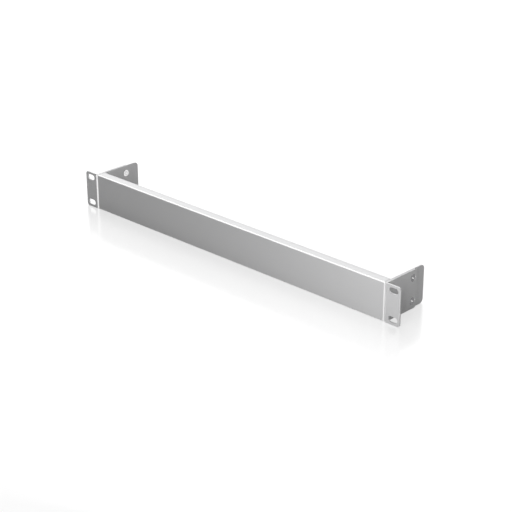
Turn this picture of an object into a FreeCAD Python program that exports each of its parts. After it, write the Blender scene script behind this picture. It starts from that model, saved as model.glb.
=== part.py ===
import FreeCAD, Part
import math
import os

# Blanking panel for one unit of a 19 inch rack: a folded sheet front with two screwed-on rack ears.
# Millimetres, +Z up, and the front looks along -Y. The origin is the centre of the four rack slots,
# in the plane of the ears' backs, which bear on the rack's rails.

Vector = FreeCAD.Vector

# Rack slots, the interface that the rest is set out from
SLOT_SPACING = 465.1            # centre to centre, across the rack
SLOT_LENGTH = 12.0              # end to end
SLOT_WIDTH = 6.5
SLOT_EDGE_MARGIN = 5.975        # slot centre to the panel's upper or lower edge, 31.75 between the two slots
EAR_END_MARGIN = 8.75           # slot centre to the ear's outer end, 482.6 over both ears
EAR_SIDE_MARGIN = 11.35         # slot centre to the panel's side, 442.4 across the panel

# Front panel, folded from one sheet
PANEL_HEIGHT = 43.7
PANEL_SHEET = 1.2
PANEL_INSIDE_RADIUS = 0.4
FLANGE_DEPTH = 11.0             # top and bottom flanges, from the front face
RETURN_DEPTH = 63.5             # side returns, from the front face
RETURN_CORNER_RADIUS = 5.0
CORNER_GAP = 0.5                # slit between a flange's end and the side return

# Rack ears, bent from thicker sheet
EAR_SHEET = 2.0
EAR_INSIDE_RADIUS = 0.5
EAR_FLANGE_DEPTH = 50.0         # side leg, from the front face
EAR_END_RADIUS = 3.0            # outer corners of the front leg
EAR_FLANGE_RADIUS = 4.0         # rear corners of the side leg
EAR_EDGE_CHAMFER = 0.15         # deburred edges

# Countersunk screws, whose heads fill the ear's thickness
SCREW_DIAMETER = 4.0
SCREW_LENGTH = 5.0              # from the top of the head
SCREW_EDGE_MARGIN = 8.85        # screw axis to the panel's upper or lower edge
SCREW_REAR_MARGIN = 6.8         # screw axis to the rear of the ear's side leg
SCREW_TIP_CHAMFER = 0.45
HEAD_RECESS = 0.15              # top of the head below the ear's face
HEAD_RIM = 0.2                  # straight rim above the 90 degree cone
EAR_HOLE_CLEARANCE = 0.5        # on the diameter
CROSS_SPAN = 4.2                # cross recess, over opposite wings
CROSS_WING = 1.0
CROSS_DEPTH = 1.5
CROSS_BOTTOM_SPAN = 1.7
CROSS_BOTTOM_WING = 0.6
CROSS_TURN = 32.0               # degrees from upright

# Clinch nuts, pressed into the returns from inside
NUT_HEIGHT = 2.0                # of the body that stands on the return
NUT_WALL = 1.9
NUT_SHANK_WALL = 0.65
NUT_SHANK_RECESS = 0.1          # shank end below the return's outer face
NUT_THREAD_CLEARANCE = 0.1      # on the diameter
NUT_CHAMFER = 0.3

# Places that follow from the sizes above
front_y = -EAR_SHEET
top_z = PANEL_HEIGHT / 2
side_x = SLOT_SPACING / 2 - EAR_SIDE_MARGIN
ear_end_x = SLOT_SPACING / 2 + EAR_END_MARGIN
ear_face_x = side_x + EAR_SHEET
return_rear_y = front_y + RETURN_DEPTH
ear_rear_y = front_y + EAR_FLANGE_DEPTH
slot_z = top_z - SLOT_EDGE_MARGIN
screw_z = top_z - SCREW_EDGE_MARGIN
screw_y = ear_rear_y - SCREW_REAR_MARGIN
nut_bore = SCREW_DIAMETER + NUT_THREAD_CLEARANCE
nut_shank = nut_bore + 2 * NUT_SHANK_WALL
nut_diameter = nut_bore + 2 * NUT_WALL
panel_outside_radius = PANEL_INSIDE_RADIUS + PANEL_SHEET


def in_plan(z):
    """Puts section points (u, v) at (X, Y) on the level z."""
    return lambda u, v: Vector(u, v, z)


def in_side_view(x):
    """Puts section points (u, v) at (Y, Z) on the plane x."""
    return lambda u, v: Vector(x, u, v)


def in_front_view(y):
    """Puts section points (u, v) at (X, Z) on the plane y."""
    return lambda u, v: Vector(u, y, v)


def corner_points(low_u, low_v, high_u, high_v):
    """The four corners of an upright rectangle, in order round it."""
    return [(low_u, low_v), (high_u, low_v), (high_u, high_v), (low_u, high_v)]


def rounded_face(corners, place):
    """Flat face bounded by straight lines through corners (u, v, radius), each corner rounded by an arc."""
    stations = []
    for index, (u, v, radius) in enumerate(corners):
        here = Vector(u, v, 0)
        back = (Vector(*corners[index - 1][:2], 0) - here).normalize()
        ahead = (Vector(*corners[(index + 1) % len(corners)][:2], 0) - here).normalize()
        half_angle = back.getAngle(ahead) / 2
        reach = radius / math.tan(half_angle)
        crown = radius / math.sin(half_angle) - radius
        middle = here + (back + ahead).normalize() * crown
        stations.append([here + back * reach, middle, here + ahead * reach])
    placed = [[place(p.x, p.y) for p in station] for station in stations]
    edges = []
    for index, (start, middle, end) in enumerate(placed):
        if corners[index][2] > 0:
            edges.append(Part.Arc(start, middle, end).toShape())
        following = placed[(index + 1) % len(placed)][0]
        if not end.isEqual(following, 1e-6):
            edges.append(Part.LineSegment(end, following).toShape())
    return Part.Face(Part.Wire(edges))


def end_rounded_face(near, far, place):
    """Face of the panel's full height between two ends, each (place along u, radius of its two corners)."""
    corners = corner_points(near[0], -top_z, far[0], top_z)
    radii = [near[1], far[1], far[1], near[1]]
    return rounded_face([(u, v, radius) for (u, v), radius in zip(corners, radii)], place)


def folded_face(skin, sheet, inside_radius, place):
    """Section of a sheet folded square along skin, the open path of its outer side, with the sheet inside."""
    points = [Vector(u, v, 0) for u, v in skin]
    runs = [(b - a).normalize() for a, b in zip(points, points[1:])]
    turn = math.copysign(1.0, runs[0].cross(runs[1]).z)
    inward = [Vector(-run.y, run.x, 0) * (turn * sheet) for run in runs]
    shifts = [inward[0]] + [a + b for a, b in zip(inward, inward[1:])] + [inward[-1]]
    inner = [point + shift for point, shift in zip(points, shifts)]
    last = len(points) - 1

    def corners(path, radius):
        return [(p.x, p.y, radius if 0 < i < last else 0.0) for i, p in enumerate(path)]

    outer_corners = corners(points, inside_radius + sheet)
    inner_corners = corners(inner, inside_radius)
    return rounded_face(outer_corners + inner_corners[::-1], place)


def mirrored(shape):
    """The same piece on the panel's other end."""
    return shape.mirror(Vector(0, 0, 0), Vector(1, 0, 0))


def at_each_screw(make):
    """One copy of make(y, z) for each of the four screw places, the right end's two first."""
    right = [make(screw_y, z) for z in (screw_z, -screw_z)]
    return right + [mirrored(shape) for shape in right]


def turned(profile, y, z):
    """Solid of revolution about the line along X through (y, z), from (x, radius) points."""
    points = [Vector(x, y + radius, z) for x, radius in profile]
    face = Part.Face(Part.makePolygon(points + points[:1]))
    return face.revolve(Vector(0, y, z), Vector(1, 0, 0), 360)


def sharp_edges(solid):
    """Edges where two faces meet at a corner, leaving out those where they run on smoothly."""
    found = []
    for edge in solid.Edges:
        middle = edge.valueAt((edge.FirstParameter + edge.LastParameter) / 2)
        normals = []
        for face in solid.ancestorsOfType(edge, Part.Face):
            normals.append(face.normalAt(*face.Surface.parameter(middle)))
        if len(normals) == 2 and normals[0].getAngle(normals[1]) > math.radians(45):
            found.append(edge)
    return found


def make_front_panel():
    """Front, flanges and returns of one folded sheet, with a hole for each clinch nut."""
    walls_skin = [(-side_x, return_rear_y), (-side_x, front_y), (side_x, front_y), (side_x, return_rear_y)]
    walls = folded_face(walls_skin, PANEL_SHEET, PANEL_INSIDE_RADIUS, in_plan(-top_z))
    walls = walls.extrude(Vector(0, 0, PANEL_HEIGHT))
    # The flange folds carry on round the ends of the front, and the returns have round rear corners
    silhouette = end_rounded_face(
        (front_y, panel_outside_radius), (return_rear_y, RETURN_CORNER_RADIUS), in_side_view(-side_x)
    )
    walls = walls.common(silhouette.extrude(Vector(2 * side_x, 0, 0)))

    flange_end_x = side_x - PANEL_SHEET - CORNER_GAP
    flange_rear_y = front_y + FLANGE_DEPTH
    channel_skin = [(flange_rear_y, top_z), (front_y, top_z), (front_y, -top_z), (flange_rear_y, -top_z)]
    channel = folded_face(channel_skin, PANEL_SHEET, PANEL_INSIDE_RADIUS, in_side_view(-flange_end_x))
    channel = channel.extrude(Vector(2 * flange_end_x, 0, 0))

    def nut_hole(y, z):
        inner_face = Vector(side_x - PANEL_SHEET, y, z)
        return Part.makeCylinder(nut_shank / 2, PANEL_SHEET, inner_face, Vector(1, 0, 0))

    return walls.fuse(channel).removeSplitter().cut(at_each_screw(nut_hole))


def make_slot(z):
    """Round-ended rack slot through the front leg of the right-hand ear."""
    half_length, half_width = SLOT_LENGTH / 2, SLOT_WIDTH / 2
    middle = SLOT_SPACING / 2
    corners = corner_points(middle - half_length, z - half_width, middle + half_length, z + half_width)
    outline = rounded_face([(u, v, half_width) for u, v in corners], in_front_view(front_y))
    return outline.extrude(Vector(0, EAR_SHEET, 0))


def make_rack_ear():
    """Right-hand ear: bent sheet with round corners, two rack slots and two countersunk holes."""
    skin = [(side_x, ear_rear_y), (side_x, front_y), (ear_end_x, front_y)]
    ear = folded_face(skin, EAR_SHEET, EAR_INSIDE_RADIUS, in_plan(-top_z))
    ear = ear.extrude(Vector(0, 0, PANEL_HEIGHT))
    front_outline = end_rounded_face((side_x, 0), (ear_end_x, EAR_END_RADIUS), in_front_view(front_y))
    side_outline = end_rounded_face((front_y, 0), (ear_rear_y, EAR_FLANGE_RADIUS), in_side_view(side_x))
    ear = ear.common(front_outline.extrude(Vector(0, EAR_FLANGE_DEPTH, 0)))
    ear = ear.common(side_outline.extrude(Vector(ear_end_x - side_x, 0, 0)))

    ear = ear.cut([make_slot(z) for z in (slot_z, -slot_z)])
    ear = ear.makeChamfer(EAR_EDGE_CHAMFER, sharp_edges(ear))

    hole_radius = (SCREW_DIAMETER + EAR_HOLE_CLEARANCE) / 2
    cone_radius = SCREW_DIAMETER / 2 + EAR_SHEET
    hole_start_x = ear_face_x - (cone_radius - hole_radius)
    countersink = [
        (side_x, 0),
        (side_x, hole_radius),
        (hole_start_x, hole_radius),
        (ear_face_x, cone_radius),
        (ear_face_x, 0),
    ]
    return ear.cut([turned(countersink, screw_y, z) for z in (screw_z, -screw_z)])


def cross_wire(span, wing, x, y, z):
    """Plus-shaped outline in the plane x, turned about the screw's axis."""
    half, arm = wing / 2, span / 2
    quarter = [(arm, -half), (arm, half), (half, half)]
    points = []
    for step in range(4):
        angle = math.radians(CROSS_TURN + 90 * step)
        for u, v in quarter:
            turned_u = u * math.cos(angle) - v * math.sin(angle)
            turned_v = u * math.sin(angle) + v * math.cos(angle)
            points.append(Vector(x, y + turned_u, z + turned_v))
    return Part.makePolygon(points + points[:1])


def make_screw(y, z):
    """Countersunk screw with a tapered cross recess, its head seated in the ear's countersink."""
    head_x = ear_face_x - HEAD_RECESS
    rim_x = head_x - HEAD_RIM
    tip_x = head_x - SCREW_LENGTH
    radius = SCREW_DIAMETER / 2
    head_radius = radius + (rim_x - side_x)
    profile = [
        (head_x, 0),
        (head_x, head_radius),
        (rim_x, head_radius),
        (side_x, radius),
        (tip_x + SCREW_TIP_CHAMFER, radius),
        (tip_x, radius - SCREW_TIP_CHAMFER),
        (tip_x, 0),
    ]
    mouth = cross_wire(CROSS_SPAN, CROSS_WING, head_x, y, z)
    bottom = cross_wire(CROSS_BOTTOM_SPAN, CROSS_BOTTOM_WING, head_x - CROSS_DEPTH, y, z)
    return turned(profile, y, z).cut(Part.makeLoft([mouth, bottom], True, True))


def make_clinch_nut(y, z):
    """Nut with its shank pressed into the return and its body standing on the inside."""
    seat_x = side_x - PANEL_SHEET
    end_x = seat_x - NUT_HEIGHT
    mouth_x = side_x - NUT_SHANK_RECESS
    bore, shank, body = nut_bore / 2, nut_shank / 2, nut_diameter / 2
    profile = [
        (mouth_x, bore),
        (mouth_x, shank),
        (seat_x, shank),
        (seat_x, body),
        (end_x + NUT_CHAMFER, body),
        (end_x, body - NUT_CHAMFER),
        (end_x, bore + NUT_CHAMFER),
        (end_x + NUT_CHAMFER, bore),
    ]
    return turned(profile, y, z)


right_ear = make_rack_ear()
pieces = {
    "front_panel": make_front_panel(),
    "right_rack_ear": right_ear,
    "left_rack_ear": mirrored(right_ear),
    "ear_screws": Part.makeCompound(at_each_screw(make_screw)),
    "clinch_nuts": Part.makeCompound(at_each_screw(make_clinch_nut)),
}

os.makedirs("parts", exist_ok=True)
for name, shape in pieces.items():
    shape.exportStep(os.path.join("parts", name + ".step"))
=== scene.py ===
import math

import bpy
import numpy as np
from bpy.props import FloatProperty, FloatVectorProperty, IntProperty, PointerProperty
from mathutils import Matrix, Vector


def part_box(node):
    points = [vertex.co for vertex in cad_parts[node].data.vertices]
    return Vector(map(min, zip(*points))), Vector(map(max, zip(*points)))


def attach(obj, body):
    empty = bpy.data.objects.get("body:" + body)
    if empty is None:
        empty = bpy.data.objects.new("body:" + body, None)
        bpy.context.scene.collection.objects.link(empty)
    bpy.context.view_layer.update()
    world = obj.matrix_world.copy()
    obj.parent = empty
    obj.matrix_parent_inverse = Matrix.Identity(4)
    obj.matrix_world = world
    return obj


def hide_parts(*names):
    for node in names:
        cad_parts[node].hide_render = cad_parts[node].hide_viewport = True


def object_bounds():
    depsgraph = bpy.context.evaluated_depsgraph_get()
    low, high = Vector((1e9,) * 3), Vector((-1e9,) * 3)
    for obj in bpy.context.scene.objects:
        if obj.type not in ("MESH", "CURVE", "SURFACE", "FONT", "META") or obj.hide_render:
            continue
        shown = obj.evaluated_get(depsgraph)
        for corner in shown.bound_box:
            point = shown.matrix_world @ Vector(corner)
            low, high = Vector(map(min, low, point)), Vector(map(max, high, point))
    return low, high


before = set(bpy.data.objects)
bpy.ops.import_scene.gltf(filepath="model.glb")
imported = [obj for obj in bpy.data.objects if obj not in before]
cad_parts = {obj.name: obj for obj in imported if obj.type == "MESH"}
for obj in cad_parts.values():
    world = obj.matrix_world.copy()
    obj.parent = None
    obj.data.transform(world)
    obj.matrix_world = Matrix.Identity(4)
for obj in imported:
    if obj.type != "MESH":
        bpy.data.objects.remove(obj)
CAD_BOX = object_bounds()

bl_info = {
    "name": "Rack blanking panel",
    "version": (1, 0, 0),
    "blender": (4, 5, 0),
    "location": "View3D > Sidebar > Blanking panel",
    "description": "Coats, fasteners and studio of a one-unit blanking panel with screwed-on rack ears",
    "category": "Object",
}

EARS = ("left_rack_ear", "right_rack_ear")
MILLIMETRE = 0.001
WHITE = (1.0, 1.0, 1.0, 1.0)

# Places that follow from the solids, in metres
PANEL_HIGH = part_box("front_panel")[1]
SCREW_LOW, SCREW_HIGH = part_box("ear_screws")
NUT_LOW, NUT_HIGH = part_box("clinch_nuts")
HEAD_DIAMETER = SCREW_HIGH.y - SCREW_LOW.y
NUT_DIAMETER = NUT_HIGH.y - NUT_LOW.y
AXIS_Y = (SCREW_LOW.y + SCREW_HIGH.y) / 2
AXIS_Z = SCREW_HIGH.z - HEAD_DIAMETER / 2

# Steps along the runs of each fastener's profile, in the order of its points
SCREW_STEPS = (4, 5, 44, 8, 2)
NUT_STEPS = (44, 3, 3, 4, 6, 2, 2, 2)
RIM_POINTS = 5
TOP_POINTS = 64

# Innermost ring as a share of the shank, overshoot of the thread's wave, and least angle of a sharp edge
POLE_SHARE = 0.01
CREST_FLAT = 0.15
SHARP_ANGLE = math.radians(35)

# Where the coat is worn or dull, and where bends get a painted highlight, by cosines of the normal's angle
EDGE_SPAN = (0.97, 0.80)
BEND_SPAN = (0.98, 0.90)
DOWN_SPAN = (-0.35, -0.05)
LEVEL_COSINE = 0.9
PANEL_BEND_TOP = 1.0
EAR_BEND_TOP = 0.1

# Patterns of the finishes, with the width of worn patches in edge widths
PANEL_SHIFT = (0.0, 0.0, 0.0)
EAR_SHIFT = (0.37, 0.19, 0.53)
NOISE_SPAN = (0.3, 0.7)
PATCH_SPAN = (0.35, 0.7)
PATCH_WIDTH = 5
COARSE_DETAIL = 3.0
FINE_DETAIL = 2.0
EDGE_SAMPLES = 8
WORN_POLISH = 0.12
PEEL_STRENGTH = 0.15
BLOOM_SIZE = 1.2 * MILLIMETRE
BLOOM_SPREAD = 0.1
BLOOM_DRIFT = 0.06
MARK_SIZE = 0.15 * MILLIMETRE
MARK_DEPTH = 0.004 * MILLIMETRE
MARK_STRENGTH = 0.2

# Inputs and output of Blender's mix node, by the kind of what it mixes
MIX_INPUTS = {"FLOAT": ("2", "3"), "RGBA": ("6", "7")}
MIX_OUTPUT = {"FLOAT": 0, "RGBA": 2}

# Fixed points of the studio
FLOOR_CELLS = 4
LEVEL_PART = (1.0, 1.0, 0.0)
GREY_SPAN = (-0.7, 0.7)
SENSOR_WIDTH = 36.0
CLIP_NEAR, CLIP_FAR = 0.05, 60.0


def length(name, description, default):
    """A length setting, stored in metres and given here in millimetres."""
    return FloatProperty(
        name=name, description=description, default=default * MILLIMETRE, min=0.0, precision=5, unit="LENGTH"
    )


def share(name, description, default):
    """A setting between nothing and all."""
    return FloatProperty(
        name=name, description=description, default=default, min=0.0, max=1.0, subtype="FACTOR"
    )


def colour(name, description, default):
    """A colour setting, in linear red, green and blue."""
    return FloatVectorProperty(
        name=name, description=description, default=default, min=0.0, max=1.0, size=3, subtype="COLOR"
    )


def angle(name, description, default):
    """An angle setting, stored in radians and given here in degrees."""
    return FloatProperty(
        name=name, description=description, default=math.radians(default), subtype="ANGLE"
    )


def place(name, description, default):
    """A point in the panel's frame, in metres."""
    return FloatVectorProperty(
        name=name, description=description, default=default, size=3, subtype="TRANSLATION", unit="LENGTH"
    )


def direction(name, description, default):
    """A way in the panel's frame, of any length."""
    return FloatVectorProperty(
        name=name, description=description, default=default, size=3, subtype="DIRECTION"
    )


def level(name, description, default):
    """A plain number that isn't below nothing."""
    return FloatProperty(name=name, description=description, default=default, min=0.0)


def power(name, description, default):
    """A lamp's power, in watts."""
    return FloatProperty(name=name, description=description, default=default, min=0.0, unit="POWER")


class CoatSettings(bpy.types.PropertyGroup):
    """Satin silver coat of the folded panel and the rack ears."""

    tint: colour("Tint", "Colour of the silver coat", (0.76, 0.76, 0.765))
    # The bare edge colour serves both the rubbed edges and the bends' painted highlight; the two bend
    # settings below set how much of that painted highlight, as tint and metal, the panel's and the ears'
    # bends get.
    bare_and_highlight: colour("Bare edge", "Colour where the coat is thin, on edges and bends", (0.86, 0.86, 0.86))
    metal: share("Metal", "How much metal shows through the coat on the flat", 0.02)
    bend_highlight: share("Bend metal", "How much shows on the panel's bends, where the coat is thin", 0.95)
    ear_highlight: share("Ear metal", "How much shows on the upright bends of the ears", 0.95)
    roughness: share("Roughness", "Mean roughness of the coat", 0.292)
    drift: share("Gloss drift", "How far the roughness drifts over the sheet", 0.012)
    cloud_size: length("Cloud size", "Width of the patches in which the gloss drifts", 22.0)
    grain_size: length("Grain size", "Width of the coat's fine orange peel", 0.55)
    grain_depth: length("Grain depth", "Height of the orange peel", 0.006)
    flake_size: length("Flake size", "Width of the metal flakes", 0.12)
    flake_spread: share("Flake spread", "How far single flakes are lighter or darker", 0.02)
    edge_width: length("Edge width", "Width of the rounded and rubbed edge", 0.3)
    edge_wear: share("Edge wear", "How much of the coat is rubbed off the edges", 0.12)
    cut_tint: colour("Cut edge", "Colour of the sheared edges of the side walls", (0.59, 0.59, 0.595))
    cut_roughness: share("Cut edge roughness", "Roughness of the sheared edges", 0.45)
    cut_start: length("Cut edge start", "Depth at which those edges start to get duller", 5.0)
    cut_full: length("Cut edge full", "Depth from which they are fully dull", 11.0)


class ScrewSettings(bpy.types.PropertyGroup):
    """Countersunk screws that hold the ears."""

    diameter: length("Thread diameter", "Outside diameter of the thread", 4.0)
    reach: length("Length", "From the top of the head to the tip", 5.0)
    head_depth: length("Head depth", "From the top of the head to the foot of its cone", 1.85)
    rim: length("Rim", "Height of the straight rim above the cone", 0.2)
    rim_round: length("Rim rounding", "Radius between the head's top and its rim", 0.08)
    tip_chamfer: length("Tip chamfer", "Chamfer at the tip", 0.45)
    pitch: length("Pitch", "From one thread turn to the next", 0.7)
    thread_depth: length("Thread depth", "From the thread's crest to its root", 0.38)
    cross_span: length("Cross span", "Cross recess, over opposite wings at the top", 4.2)
    cross_wing: length("Cross wing", "Width of a wing at the top", 1.0)
    cross_depth: length("Cross depth", "Depth of the recess", 1.5)
    cross_end: length("Cross end", "Recess over opposite wings at the bottom", 1.7)
    cross_end_wing: length("Cross end wing", "Width of a wing at the bottom", 0.6)
    cross_turn: angle("Cross turn", "Turn of the recess about the screw's axis", 32.0)
    columns: IntProperty(name="Columns", description="Steps round screws and nuts", default=120, min=12)
    # Plating is the dark colour left on the heads' tops. The rubbed recess colour is a painted highlight,
    # lighter than the plating, which fills the recess from its start depth under the head's top to its full
    # depth.
    plating: colour("Plating", "Colour of the dulled zinc plate", (0.22, 0.22, 0.225))
    rubbed: colour("Rubbed recess", "Colour where the driver has rubbed the recess", (0.85, 0.85, 0.85))
    highlight_start: length("Rub start", "Depth under the head's top at which the rubbing starts", 0.1)
    highlight_full: length("Rub full", "Depth from which the recess is fully rubbed", 0.5)
    roughness: share("Roughness", "Mean roughness of the plate", 0.22)


class NutSettings(bpy.types.PropertyGroup):
    """Clinch nuts pressed into the returns from inside."""

    sheet: length("Sheet", "Thickness of the return that the shank is pressed into", 1.2)
    height: length("Height", "Of the body that stands on the return", 2.0)
    shank_diameter: length("Shank diameter", "Of the part inside the return", 5.4)
    clearance: length("Thread clearance", "Between the nut's thread and the screw's, on the radius", 0.05)
    chamfer: length("Chamfer", "At both edges of the free end", 0.3)
    plating: colour("Plating", "Colour of the bright zinc plate", (0.84, 0.84, 0.84))
    roughness: share("Roughness", "Mean roughness of the plate", 0.14)


class StudioSettings(bpy.types.PropertyGroup):
    """Pale floor, soft lamps, surroundings and camera."""

    floor_colour: colour("Floor", "Colour of the floor", (0.25, 0.25, 0.25))
    floor_glow: level("Floor white", "White that is seen in the floor besides its light", 0.66)
    floor_roughness: share("Floor roughness", "Blur of the reflection in the floor", 0.17)
    floor_ior: level("Floor gloss", "Refractive index of the floor's surface", 2.1)
    floor_reach: length("Floor reach", "From the panel to the floor's edge", 9000.0)
    fill_light: level("Fill", "Light from all round", 0.10)
    left_grey: level("Left grey", "What is mirrored from the left", 0.08)
    right_grey: level("Right grey", "What is mirrored from the right, round the back", 0.335)
    cap_white: level("Cap white", "What is mirrored from overhead", 1.14)
    cap_way: direction("Cap way", "Towards the middle of the white part overhead", (-0.35, 0.40, 0.85))
    cap_start: angle("Cap start", "From that middle to where the white starts to fade", 50.0)
    cap_end: angle("Cap end", "From that middle to where it has faded to grey", 66.0)
    glint_white: level("Glint white", "What is added where the upper bend looks", 0.8)
    glint_way: direction("Glint way", "Towards the middle of that addition", (-0.69, -0.10, 0.72))
    glint_start: angle("Glint start", "From that middle to where the addition starts to fade", 10.0)
    glint_end: angle("Glint end", "From that middle to where nothing is added", 32.0)
    side_white: level("Side white", "What is mirrored from the front and right", 1.22)
    side_way: direction("Side way", "Towards the middle of that white part", (0.267, -0.964, 0.0))
    side_start: angle("Side start", "From that middle to where the white starts to fade", 44.0)
    side_end: angle("Side end", "From that middle to where it has faded to grey", 66.0)
    horizon_white: level("Horizon white", "What is mirrored from all round at the panel's level", 1.0)
    horizon_start: angle("Horizon start", "Above the level, where that white starts to fade", 5.0)
    horizon_end: angle("Horizon end", "Above the level, where it has faded", 12.0)
    zenith_white: level("Zenith white", "What is mirrored from straight above", 0.9)
    zenith_start: angle("Zenith start", "Above the level, where the overhead white starts to fade", 58.0)
    zenith_end: angle("Zenith end", "Above the level, where it is that of the zenith", 72.0)
    lamp_power: power("Lamp", "Soft box overhead, towards the back", 23.0)
    lamp_place: place("Lamp place", "Middle of the soft box", (-0.45, 0.60, 1.15))
    lamp_width: length("Lamp width", "Width of the soft box", 1400.0)
    lamp_height: length("Lamp height", "Height of the soft box", 1000.0)
    front_power: power("Front lamp", "Small soft box in front of the right end", 0.80)
    front_place: place("Front lamp place", "Middle of the small soft box", (0.34, -0.33, 0.13))
    front_aim: place("Front lamp aim", "What the small soft box points at", (0.15, 0.0, 0.0))
    front_size: length("Front lamp size", "Width and height of the small soft box", 250.0)
    camera_place: place("Camera place", "Where the camera stands", (1.04356, -1.03484, 0.62941))
    camera_azimuth: angle("Azimuth", "Camera's way round from the front, to the right", 44.111)
    camera_elevation: angle("Elevation", "Camera's height above the level", 23.757)
    camera_roll: angle("Roll", "Camera's turn about its own view", -0.145)
    lens: FloatProperty(name="Lens", description="Focal length", default=102.076, unit="CAMERA")


# Surfaces

def ring_faces(rings, columns, looped):
    """Quads between neighbouring rings of a grid, each ring closed on itself.

    Where looped, the last ring is joined to the first. The quads look to the right of the way that the
    profile runs, seen with the depth to the right and the radius up."""
    ring = np.arange(rings if looped else rings - 1)[:, None]
    column = np.arange(columns)[None, :]
    following, beside = (ring + 1) % rings, (column + 1) % columns
    corners = (
        ring * columns + column,
        following * columns + column,
        following * columns + beside,
        ring * columns + beside,
    )
    return np.stack(np.broadcast_arrays(*corners), axis=-1).reshape(-1, 4)


def pole_faces(ring, columns, pole, starting):
    """Triangles between a ring and the vertex at the pole where the profile starts or ends."""
    column = np.arange(columns)
    near, far = ring * columns + column, ring * columns + (column + 1) % columns
    return np.stack([np.full(columns, pole), *((near, far) if starting else (far, near))], axis=-1)


def fastener_places(outer_x):
    """Start point and inward axis (+1 or -1 along X) of the fasteners at both ends, above and below."""
    return [((side * outer_x, AXIS_Y, height), -side) for side in (1, -1) for height in (AXIS_Z, -AXIS_Z)]


def set_along(local, start, inward):
    """Puts (u, v, depth) points at start, with depth along the inward axis and the thread's hand kept."""
    u, v, depth = np.moveaxis(local, -1, 0)
    return np.asarray(start) + np.stack([inward * depth, inward * u, v], axis=-1)


def add_piece(name, vertices, faces, material, node):
    """New mesh object at the origin that stands for a node of the solid model and takes its finish slot."""
    mesh = bpy.data.meshes.new(name)
    mesh.from_pydata(vertices, [], faces)
    if mesh.validate():
        raise RuntimeError(f"the surface of {name} has broken faces")
    mesh.materials.append(material)
    mesh.shade_smooth()
    mesh.set_sharp_from_angle(angle=SHARP_ANGLE)
    piece = bpy.data.objects.new(name, mesh)
    bpy.context.scene.collection.objects.link(piece)
    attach(piece, "root")
    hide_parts(node)


def add_copies(name, local, face_groups, outer_x, material, node):
    """One mesh with the same surface set at each of the four fastener places."""
    places = fastener_places(outer_x)
    vertices = np.concatenate([set_along(local, start, inward) for start, inward in places])
    shift = len(local) * np.arange(len(places))[:, None, None]
    faces = []
    for group in face_groups:
        faces += (group + shift).reshape(-1, group.shape[-1]).tolist()
    add_piece(name, vertices.tolist(), faces, material, node)


def thread_groove(depth, turn, pitch):
    """Depth of a 60 degree thread from its crest, as a share: 0 on the crest and 1 at the root.

    The phase is depth / pitch - turn / 2 pi. The groove is a triangle wave of it, stretched past both ends
    and cut off there, which leaves flats on the crest and at the root."""
    phase = (depth / pitch - turn / (2 * math.pi)) % 1.0
    wave = 1.0 - np.abs(2.0 * phase - 1.0)
    return np.clip((1.0 + 2.0 * CREST_FLAT) * wave - CREST_FLAT, 0.0, 1.0)


def cross_recess(u, v, screw):
    """Depth of the cross recess under a point (u, v) of the head.

    With a the larger and b the smaller of |u| and |v|, it is the least of the two sloping walls' depths,
    that of the wing's end, which falls with a, and that of the wing's flank, which falls with b."""
    turn = screw.cross_turn
    across = np.abs(u * math.cos(turn) + v * math.sin(turn))
    along = np.abs(v * math.cos(turn) - u * math.sin(turn))
    a, b = np.maximum(across, along), np.minimum(across, along)
    end_run = (screw.cross_span - screw.cross_end) / 2
    flank_run = (screw.cross_wing - screw.cross_end_wing) / 2
    end_wall = (screw.cross_span / 2 - a) / end_run
    flank_wall = (screw.cross_wing / 2 - b) / flank_run
    return screw.cross_depth * np.clip(np.minimum(end_wall, flank_wall), 0.0, 1.0)


def polyline(points, steps):
    """Points (depth, radius) along straight runs, each cut into its number of steps, without the last."""
    runs = zip(points, points[1:], steps)
    return np.concatenate([np.linspace(start, end, count, endpoint=False) for start, end, count in runs])


def turns(columns):
    """Angles of the columns round an axis, as one row."""
    return np.linspace(0.0, 2 * math.pi, columns, endpoint=False)[None, :]


def screw_profile(screw):
    """Profile of (depth, radius) from the middle of the tip to that of the head, and the top's ring count.

    The tip, its chamfer, the shank, the cone and the rim are straight runs, and a quarter circle leads from
    the rim to the flat top."""
    head, shank = HEAD_DIAMETER / 2, screw.diameter / 2
    flat, pole = head - screw.rim_round, POLE_SHARE * shank
    below = polyline(
        [
            (screw.reach, pole),
            (screw.reach, shank - screw.tip_chamfer),
            (screw.reach - screw.tip_chamfer, shank),
            (screw.head_depth, shank),
            (screw.rim, head),
            (screw.rim_round, head),
        ],
        SCREW_STEPS,
    )
    bend = np.linspace(0.0, math.pi / 2, RIM_POINTS)
    rim = np.stack([screw.rim_round * (1 - np.sin(bend)), flat + screw.rim_round * np.cos(bend)], axis=-1)
    top = np.linspace((0.0, flat), (0.0, pole), TOP_POINTS)[1:]
    return np.concatenate([below, rim, top]), len(top)


def screw_surface(screw):
    """Screw about its own axis, as (u, v, depth) vertices and groups of faces.

    The profile is carried round the axis. The thread is taken off its radius along the shank, and the cross
    recess is added to its depth on the head's flat top."""
    columns = screw.columns
    profile, top_rings = screw_profile(screw)
    rings = len(profile)
    depth, radius = profile[:, :1], profile[:, 1:]
    turn = turns(columns)

    started = np.clip((depth - screw.head_depth) / screw.pitch, 0.0, 1.0)
    groove = screw.thread_depth * started * thread_groove(depth, turn, screw.pitch)
    threaded = np.minimum(radius, screw.diameter / 2 - groove)
    radius = np.where(depth > screw.head_depth, threaded, radius)
    u, v = radius * np.cos(turn), radius * np.sin(turn)
    on_top = np.arange(rings)[:, None] >= rings - top_rings
    depth = depth + np.where(on_top, cross_recess(u, v, screw), 0.0)

    poles = [(0.0, 0.0, screw.reach), (0.0, 0.0, screw.cross_depth)]
    vertices = np.concatenate([np.stack([u, v, depth], axis=-1).reshape(-1, 3), poles])
    faces = [
        ring_faces(rings, columns, looped=False),
        pole_faces(0, columns, rings * columns, starting=True),
        pole_faces(rings - 1, columns, rings * columns + 1, starting=False),
    ]
    return vertices, faces


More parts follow.
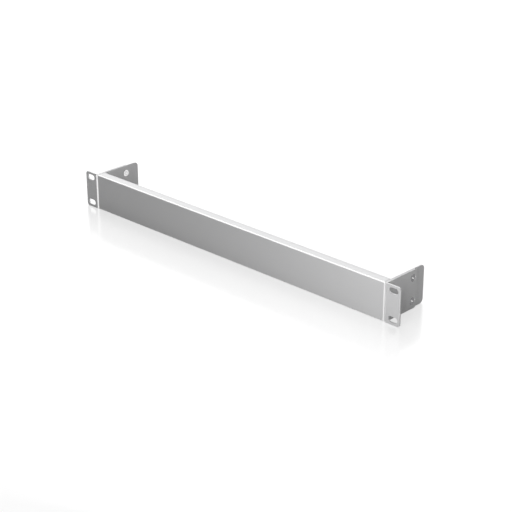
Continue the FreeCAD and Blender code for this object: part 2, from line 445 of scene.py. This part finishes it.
def nut_surface(nut, screw):
    """Clinch nut about its own axis, as (u, v, depth) vertices and groups of faces.

    A closed profile of (depth, radius) is carried round the axis: the bore, the free end with its chamfers,
    the body, and the shank. The bore carries the screw's own thread, moved outwards by the clearance."""
    bore = screw.diameter / 2 + nut.clearance
    body, shank = NUT_DIAMETER / 2, nut.shank_diameter / 2
    seat = nut.sheet - (PANEL_HIGH.x - NUT_HIGH.x)
    end = seat + nut.height
    bore_end = end - nut.chamfer
    profile = polyline(
        [
            (0.0, bore),
            (bore_end, bore),
            (end, bore + nut.chamfer),
            (end, body - nut.chamfer),
            (end - nut.chamfer, body),
            (seat, body),
            (seat, shank),
            (0.0, shank),
            (0.0, bore),
        ],
        NUT_STEPS,
    )
    depth, radius = profile[:, :1], profile[:, 1:]
    turn = turns(screw.columns)
    groove = thread_groove(depth + SCREW_HIGH.x - NUT_HIGH.x, turn, screw.pitch)
    run_out = np.clip(np.minimum(depth, bore_end - depth) / nut.chamfer, 0.0, 1.0)
    in_bore = np.arange(len(profile))[:, None] < NUT_STEPS[0]
    radius = radius - np.where(in_bore, screw.thread_depth * groove * run_out, 0.0)
    u, v = radius * np.cos(turn), radius * np.sin(turn)
    vertices = np.stack([u, v, depth * np.ones_like(turn)], axis=-1).reshape(-1, 3)
    return vertices, [ring_faces(len(profile), screw.columns, looped=True)]


# Finishes

class Recipe:
    """Nodes of a finish or of the surroundings, added and joined by short calls."""

    def __init__(self, owner, output):
        owner.use_nodes = True
        self.owner = owner
        self.tree = owner.node_tree
        self.tree.nodes.clear()
        self.output = self.add(output)

    def add(self, kind, settings=None, **inputs):
        """Adds a node, sets its own settings, and sets or links its inputs by name."""
        node = self.tree.nodes.new(kind)
        for key, value in (settings or {}).items():
            setattr(node, key, value)
        for key, value in inputs.items():
            self.feed(node, key.replace("_", " "), value)
        return node

    def feed(self, node, key, value):
        """Sets a node's input, or links it where the value is another node's output."""
        socket = node.inputs[int(key)] if key.isdigit() else node.inputs[key]
        if isinstance(value, bpy.types.NodeSocket):
            self.tree.links.new(value, socket)
        else:
            socket.default_value = value

    def finish(self, shader):
        """Joins the shader to the output."""
        self.tree.links.new(shader, self.output.inputs["Surface"])
        return self.owner

    def math(self, operation, first, second=0.0):
        """Result of an operation on one or two values or outputs."""
        node = self.add("ShaderNodeMath", {"operation": operation})
        self.feed(node, "0", first)
        self.feed(node, "1", second)
        return node.outputs[0]

    def vector(self, operation, first, second=(0.0, 0.0, 0.0)):
        """Outputs of an operation on one or two vectors."""
        node = self.add("ShaderNodeVectorMath", {"operation": operation})
        self.feed(node, "0", first)
        self.feed(node, "1", second)
        return node.outputs

    def scaled(self, value, span, to_low, to_high):
        """Value taken from the span to another range, and held inside it."""
        low, high = span
        node = self.add(
            "ShaderNodeMapRange", Value=value, From_Min=low, From_Max=high, To_Min=to_low, To_Max=to_high
        )
        return node.outputs["Result"]

    def noise(self, where, size, detail):
        """Noise with patches of about the given width, two of them to a period."""
        node = self.add("ShaderNodeTexNoise", Vector=where, Scale=1 / (2 * size), Detail=detail)
        return node.outputs["Fac"]

    def blend(self, factor, first, second, kind="RGBA"):
        """Mix of two colours, or of two numbers where the kind is FLOAT."""
        node = self.add("ShaderNodeMix", {"data_type": kind})
        self.feed(node, "0", factor)
        for key, value in zip(MIX_INPUTS[kind], (first, second)):
            self.feed(node, key, value)
        return node.outputs[MIX_OUTPUT[kind]]

    def coordinates(self):
        """Places on the piece, and its normals, in the panel's own frame."""
        return self.add("ShaderNodeTexCoord").outputs

    def parts(self, vector):
        """The X, Y and Z parts of a vector."""
        return self.add("ShaderNodeSeparateXYZ", Vector=vector).outputs


def new_finish(name):
    """Empty recipe for a material."""
    return Recipe(bpy.data.materials.new(name), "ShaderNodeOutputMaterial")


def opaque(rgb, lightness=1.0):
    """Colour with full alpha, made lighter or darker."""
    return (*(min(1.0, lightness * channel) for channel in rgb), 1.0)


def edge_mask(recipe, width):
    """Mask that is 1 on an edge and 0 on the flat, and the rounded normal that it comes from.

    The mask grows as the rounded normal turns away from the surface's own."""
    rounded = recipe.add("ShaderNodeBevel", {"samples": EDGE_SAMPLES}, Radius=width).outputs["Normal"]
    own = recipe.add("ShaderNodeNewGeometry").outputs["Normal"]
    likeness = recipe.vector("DOT_PRODUCT", rounded, own)["Value"]
    return recipe.scaled(likeness, EDGE_SPAN, 0.0, 1.0), rounded


def sheared_edge(recipe, start, full):
    """1 on the level edges of the side walls, which are sheared and not folded, and 0 elsewhere."""
    here = recipe.coordinates()
    facing = recipe.math("ABSOLUTE", recipe.parts(here["Normal"])["Z"])
    level_face = recipe.math("GREATER_THAN", facing, LEVEL_COSINE)
    depth = recipe.parts(here["Object"])["Y"]
    return recipe.math("MULTIPLY", level_face, recipe.scaled(depth, (start, full), 0.0, 1.0))


def painted_highlight_bends(recipe, highest):
    """1 on bends and chamfers, where the normal leaves the three axes, and 0 on the flat.

    It is also 0 where the normal leans down, or up by more than highest. It marks where the bends get a
    painted highlight."""
    normal = recipe.parts(recipe.coordinates()["Normal"])
    across, along, up = (recipe.math("ABSOLUTE", normal[axis]) for axis in "XYZ")
    most = recipe.math("MAXIMUM", recipe.math("MAXIMUM", across, along), up)
    bent = recipe.scaled(most, BEND_SPAN, 0.0, 1.0)
    upright = recipe.scaled(normal["Z"], DOWN_SPAN, 0.0, 1.0)
    upright = recipe.math("MULTIPLY", upright, recipe.math("LESS_THAN", normal["Z"], highest))
    return recipe.math("MULTIPLY", bent, upright)


def flaked_tint(recipe, coat, where):
    """Colour of the coat on the flat, with single flakes that are lighter or darker."""
    flakes = recipe.add("ShaderNodeTexVoronoi", Vector=where, Scale=1.0 / coat.flake_size).outputs["Color"]
    flake = recipe.add("ShaderNodeSeparateColor", Color=flakes).outputs["Red"]
    spread = coat.flake_spread
    return recipe.blend(flake, opaque(coat.tint, 1 - spread), opaque(coat.tint, 1 + spread))


def satin_coat(name, coat, bend_highlight, highest, shift):
    """Silver coat with flakes, a gloss that drifts in clouds, fine orange peel, and dull sheared edges.

    Edges are rubbed a little thin. Upward and sideways bends get a painted highlight, a lighter tint with
    metal."""
    recipe = new_finish(name)
    where = recipe.add("ShaderNodeMapping", Vector=recipe.coordinates()["Object"], Location=shift)
    where = where.outputs["Vector"]

    cut = sheared_edge(recipe, coat.cut_start, coat.cut_full)
    tint = recipe.blend(cut, flaked_tint(recipe, coat, where), opaque(coat.cut_tint))

    mask, rounded = edge_mask(recipe, coat.edge_width)
    patches = recipe.noise(where, PATCH_WIDTH * coat.edge_width, COARSE_DETAIL)
    worn = recipe.math("MULTIPLY", mask, recipe.scaled(patches, PATCH_SPAN, 0.0, coat.edge_wear))
    tint = recipe.blend(worn, tint, opaque(coat.bare_and_highlight))

    # Painted highlight: bends that face sideways or up get a lighter tint and metal, so that they catch
    # light.
    metal = recipe.scaled(painted_highlight_bends(recipe, highest), (0.0, 1.0), coat.metal, bend_highlight)
    tint = recipe.blend(metal, tint, opaque(coat.bare_and_highlight))

    clouds = recipe.noise(where, coat.cloud_size, COARSE_DETAIL)
    gloss = recipe.scaled(clouds, NOISE_SPAN, coat.roughness - coat.drift, coat.roughness + coat.drift)
    gloss = recipe.math("SUBTRACT", gloss, recipe.math("MULTIPLY", worn, WORN_POLISH))
    gloss = recipe.math("MAXIMUM", gloss, recipe.math("MULTIPLY", cut, coat.cut_roughness))

    peel = recipe.noise(where, coat.grain_size, FINE_DETAIL)
    bump = recipe.add(
        "ShaderNodeBump", Height=peel, Normal=rounded, Strength=PEEL_STRENGTH, Distance=coat.grain_depth
    )
    shader = recipe.add(
        "ShaderNodeBsdfPrincipled",
        Base_Color=tint,
        Metallic=metal,
        Roughness=gloss,
        Normal=bump.outputs["Normal"],
    )
    return recipe.finish(shader.outputs["BSDF"])


def zinc_tint(recipe, plating, bloom):
    """Colour of the zinc plate, lighter and darker with its bloom."""
    return recipe.blend(bloom, opaque(plating, 1 - BLOOM_SPREAD), opaque(plating, 1 + BLOOM_SPREAD))


def recess_highlight_tint(recipe, screw, tint):
    """The given colour on the tops of the screws' heads, and a lighter one below them as a painted highlight
    in the recess.
    """
    across = recipe.parts(recipe.coordinates()["Object"])["X"]
    depth = recipe.math("SUBTRACT", SCREW_HIGH.x, recipe.math("ABSOLUTE", across))
    highlighted = recipe.scaled(depth, (screw.highlight_start, screw.highlight_full), 0.0, 1.0)
    return recipe.blend(highlighted, tint, opaque(screw.rubbed))


def zinc_plate(recipe, tint, roughness, bloom):
    """Finished zinc: metal of the given colour, duller in patches of its bloom, with fine turning marks."""
    gloss = recipe.scaled(bloom, NOISE_SPAN, roughness - BLOOM_DRIFT, roughness + BLOOM_DRIFT)
    marks = recipe.noise(recipe.coordinates()["Object"], MARK_SIZE, FINE_DETAIL)
    bump = recipe.add("ShaderNodeBump", Height=marks, Strength=MARK_STRENGTH, Distance=MARK_DEPTH)
    shader = recipe.add(
        "ShaderNodeBsdfPrincipled",
        Base_Color=tint,
        Metallic=1.0,
        Roughness=gloss,
        Normal=bump.outputs["Normal"],
    )
    return recipe.finish(shader.outputs["BSDF"])


def zinc_bloom(recipe):
    """Faint patches of the zinc plate."""
    return recipe.noise(recipe.coordinates()["Object"], BLOOM_SIZE, COARSE_DETAIL)


def screw_zinc(screw):
    """Zinc plate, dark on the heads' tops, with a painted highlight in the recess below."""
    recipe = new_finish("screw_zinc")
    bloom = zinc_bloom(recipe)
    tint = recess_highlight_tint(recipe, screw, zinc_tint(recipe, screw.plating, bloom))
    return zinc_plate(recipe, tint, screw.roughness, bloom)


def nut_zinc(nut):
    """Bright zinc plate."""
    recipe = new_finish("nut_zinc")
    bloom = zinc_bloom(recipe)
    return zinc_plate(recipe, zinc_tint(recipe, nut.plating, bloom), nut.roughness, bloom)


def seen_directly(recipe):
    """1 for what the camera, a reflection or a see-through ray looks at, and 0 for light on other things."""
    path = recipe.add("ShaderNodeLightPath").outputs
    seen = recipe.math("MAXIMUM", path["Is Camera Ray"], path["Is Glossy Ray"])
    return recipe.math("MAXIMUM", seen, path["Is Transmission Ray"])


def pale_floor(studio):
    """Glossy floor with part of its white as a glow, so that it is pale and keeps the object's shadow."""
    recipe = new_finish("pale_floor")
    surface = recipe.add(
        "ShaderNodeBsdfPrincipled",
        Base_Color=opaque(studio.floor_colour),
        Roughness=studio.floor_roughness,
        IOR=studio.floor_ior,
    )
    strength = recipe.math("MULTIPLY", seen_directly(recipe), studio.floor_glow)
    glow = recipe.add("ShaderNodeEmission", Color=WHITE, Strength=strength)
    both = recipe.add("ShaderNodeAddShader")
    recipe.feed(both, "0", surface.outputs["BSDF"])
    recipe.feed(both, "1", glow.outputs["Emission"])
    return recipe.finish(both.outputs["Shader"])


# Studio

def aimed(location, target, roll=0.0):
    """Placement at location that looks at target."""
    turn = (Vector(target) - Vector(location)).to_track_quat("-Z", "Y").to_matrix().to_4x4()
    return Matrix.Translation(location) @ turn @ Matrix.Rotation(roll, 4, "Z")


def add_soft_box(name, location, target, width, height, watts):
    """Rectangular lamp that neither the camera nor a reflection sees."""
    lamp = bpy.data.lights.new(name, "AREA")
    lamp.shape = "RECTANGLE"
    lamp.size, lamp.size_y = width, height
    lamp.energy = watts
    box = bpy.data.objects.new(name, lamp)
    box.matrix_world = aimed(location, target)
    box.visible_camera = False
    box.visible_glossy = False
    bpy.context.scene.collection.objects.link(box)


def add_floor(studio):
    """Level sheet under the panel, a square grid of (x, y) points at the panel's lowest level."""
    points = FLOOR_CELLS + 1
    line = np.linspace(-studio.floor_reach, studio.floor_reach, points)
    x, y = np.meshgrid(line, line, indexing="ij")
    vertices = np.stack([x, y, np.full_like(x, CAD_BOX[0].z)], axis=-1).reshape(-1, 3)
    cell = np.arange(FLOOR_CELLS)
    corner = (cell[:, None] * points + cell[None, :]).reshape(-1)
    faces = np.stack([corner, corner + points, corner + points + 1, corner + 1], axis=-1)
    mesh = bpy.data.meshes.new("floor")
    mesh.from_pydata(vertices.tolist(), [], faces.tolist())
    mesh.materials.append(pale_floor(studio))
    floor = bpy.data.objects.new("floor", mesh)
    bpy.context.scene.collection.objects.link(floor)


def faded(recipe, way, middle, start, end, outside, inside):
    """Inside near the middle and outside far from it, by the cosine of the angle between way and middle."""
    along = recipe.vector("DOT_PRODUCT", way, Vector(middle).normalized())["Value"]
    return recipe.scaled(along, (math.cos(end), math.cos(start)), outside, inside)


def by_height(recipe, height, start, end, low, high):
    """Low under the start angle and high over the end angle, by the height, which is a sine."""
    return recipe.scaled(height, (math.sin(start), math.sin(end)), low, high)


def dome_level(recipe, studio):
    """What is mirrored from above the floor.

    The dome goes from one grey to another from left to right. It has a white part overhead, one at the front
    and right, and an addition where the upper bend looks. Each fades with the angle from its middle, which
    for the one at the right is the angle in plan. A white band lies all round at the panel's level, and the
    zenith has a level of its own."""
    way = recipe.coordinates()["Generated"]
    plan = recipe.vector("MULTIPLY", way, LEVEL_PART)["Vector"]
    plan = recipe.vector("NORMALIZE", plan)["Vector"]
    height = recipe.parts(way)["Z"]
    slope = recipe.math("ABSOLUTE", height)
    grey = recipe.scaled(recipe.parts(plan)["X"], GREY_SPAN, studio.left_grey, studio.right_grey)

    side = faded(recipe, plan, studio.side_way, studio.side_start, studio.side_end, grey, studio.side_white)
    cap = faded(recipe, way, studio.cap_way, studio.cap_start, studio.cap_end, grey, studio.cap_white)
    glint = faded(
        recipe, way, studio.glint_way, studio.glint_start, studio.glint_end, 0.0, studio.glint_white
    )
    seen = recipe.math("ADD", recipe.math("MAXIMUM", side, cap), glint)
    seen = by_height(recipe, slope, studio.horizon_start, studio.horizon_end, studio.horizon_white, seen)
    return by_height(recipe, height, studio.zenith_start, studio.zenith_end, seen, studio.zenith_white)


def add_dome(studio):
    """Surroundings to look at, and a plain light from all round."""
    recipe = Recipe(bpy.data.worlds.new("studio_dome"), "ShaderNodeOutputWorld")
    seen = dome_level(recipe, studio)
    strength = recipe.blend(seen_directly(recipe), studio.fill_light, seen, "FLOAT")
    background = recipe.add("ShaderNodeBackground", Color=WHITE, Strength=strength)
    bpy.context.scene.world = recipe.finish(background.outputs["Background"])


def add_lamps(studio):
    """Large soft box overhead, and a small one in front of the right end."""
    middle = (CAD_BOX[0] + CAD_BOX[1]) / 2
    width, height = studio.lamp_width, studio.lamp_height
    add_soft_box("soft_box", studio.lamp_place, middle, width, height, studio.lamp_power)
    size = studio.front_size
    add_soft_box("front_box", studio.front_place, studio.front_aim, size, size, studio.front_power)


def add_camera(studio):
    """Camera at its place, turned by azimuth, elevation and roll."""
    azimuth, elevation = studio.camera_azimuth, studio.camera_elevation
    level_part = math.cos(elevation)
    back = Vector((math.sin(azimuth) * level_part, -math.cos(azimuth) * level_part, math.sin(elevation)))
    data = bpy.data.cameras.new("camera")
    data.sensor_width = SENSOR_WIDTH
    data.lens = studio.lens
    data.clip_start, data.clip_end = CLIP_NEAR, CLIP_FAR
    camera = bpy.data.objects.new("camera", data)
    location = Vector(studio.camera_place)
    camera.matrix_world = aimed(location, location - back, studio.camera_roll)
    bpy.context.scene.collection.objects.link(camera)
    bpy.context.scene.camera = camera


# Operators

def coat_node(node, material):
    """Gives a node of the solid model its finish."""
    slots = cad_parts[node].material_slots
    if not slots:
        raise RuntimeError(f"{node} has no material slot to coat")
    for slot in slots:
        slot.material = material


class BLANKPANEL_OT_coat_panel(bpy.types.Operator):
    """Coats the folded front panel"""

    bl_idname = "blankpanel.coat_panel"
    bl_label = "Coat the panel"

    def execute(self, context):
        coat = context.scene.blankpanel_coat
        finish = satin_coat("panel_coat", coat, coat.bend_highlight, PANEL_BEND_TOP, PANEL_SHIFT)
        coat_node("front_panel", finish)
        return {"FINISHED"}


class BLANKPANEL_OT_coat_ears(bpy.types.Operator):
    """Coats both rack ears"""

    bl_idname = "blankpanel.coat_ears"
    bl_label = "Coat the rack ears"

    def execute(self, context):
        coat = context.scene.blankpanel_coat
        finish = satin_coat("ear_coat", coat, coat.ear_highlight, EAR_BEND_TOP, EAR_SHIFT)
        for ear in EARS:
            coat_node(ear, finish)
        return {"FINISHED"}


class BLANKPANEL_OT_make_screws(bpy.types.Operator):
    """Makes the four threaded countersunk screws"""

    bl_idname = "blankpanel.make_screws"
    bl_label = "Make the ear screws"

    def execute(self, context):
        screw = context.scene.blankpanel_screw
        local, faces = screw_surface(screw)
        finish = screw_zinc(screw)
        add_copies("threaded_ear_screws", local, faces, SCREW_HIGH.x, finish, "ear_screws")
        return {"FINISHED"}


class BLANKPANEL_OT_make_nuts(bpy.types.Operator):
    """Makes the four threaded clinch nuts"""

    bl_idname = "blankpanel.make_nuts"
    bl_label = "Make the clinch nuts"

    def execute(self, context):
        nut = context.scene.blankpanel_nut
        local, faces = nut_surface(nut, context.scene.blankpanel_screw)
        finish = nut_zinc(nut)
        add_copies("threaded_clinch_nuts", local, faces, NUT_HIGH.x, finish, "clinch_nuts")
        return {"FINISHED"}


class BLANKPANEL_OT_set_stage(bpy.types.Operator):
    """Sets up the floor, the surroundings, the lamps and the camera"""

    bl_idname = "blankpanel.set_stage"
    bl_label = "Set the stage"

    def execute(self, context):
        studio = context.scene.blankpanel_studio
        add_floor(studio)
        add_dome(studio)
        add_lamps(studio)
        add_camera(studio)
        context.scene.view_settings.view_transform = "Standard"
        return {"FINISHED"}


class BLANKPANEL_PT_sidebar(bpy.types.Panel):
    """Lists the steps that dress the panel"""

    bl_idname = "BLANKPANEL_PT_sidebar"
    bl_label = "Blanking panel"
    bl_space_type = "VIEW_3D"
    bl_region_type = "UI"
    bl_category = "Blanking panel"

    def draw(self, context):
        for step in STEPS:
            self.layout.operator(step.bl_idname)


SETTINGS = {
    "blankpanel_coat": CoatSettings,
    "blankpanel_screw": ScrewSettings,
    "blankpanel_nut": NutSettings,
    "blankpanel_studio": StudioSettings,
}
STEPS = (
    BLANKPANEL_OT_coat_panel,
    BLANKPANEL_OT_coat_ears,
    BLANKPANEL_OT_make_screws,
    BLANKPANEL_OT_make_nuts,
    BLANKPANEL_OT_set_stage,
)
CLASSES = (*SETTINGS.values(), *STEPS, BLANKPANEL_PT_sidebar)


def register():
    """Makes the settings, steps and sidebar known to Blender."""
    for kind in CLASSES:
        bpy.utils.register_class(kind)
    for key, kind in SETTINGS.items():
        setattr(bpy.types.Scene, key, PointerProperty(type=kind))


def unregister():
    """Takes them away again."""
    for key in SETTINGS:
        delattr(bpy.types.Scene, key)
    for kind in reversed(CLASSES):
        bpy.utils.unregister_class(kind)


def main():
    """Dresses the panel and sets the stage."""
    register()
    bpy.ops.blankpanel.coat_panel()
    bpy.ops.blankpanel.coat_ears()
    bpy.ops.blankpanel.make_screws()
    bpy.ops.blankpanel.make_nuts()
    bpy.ops.blankpanel.set_stage()


if __name__ == "__main__":
    main()
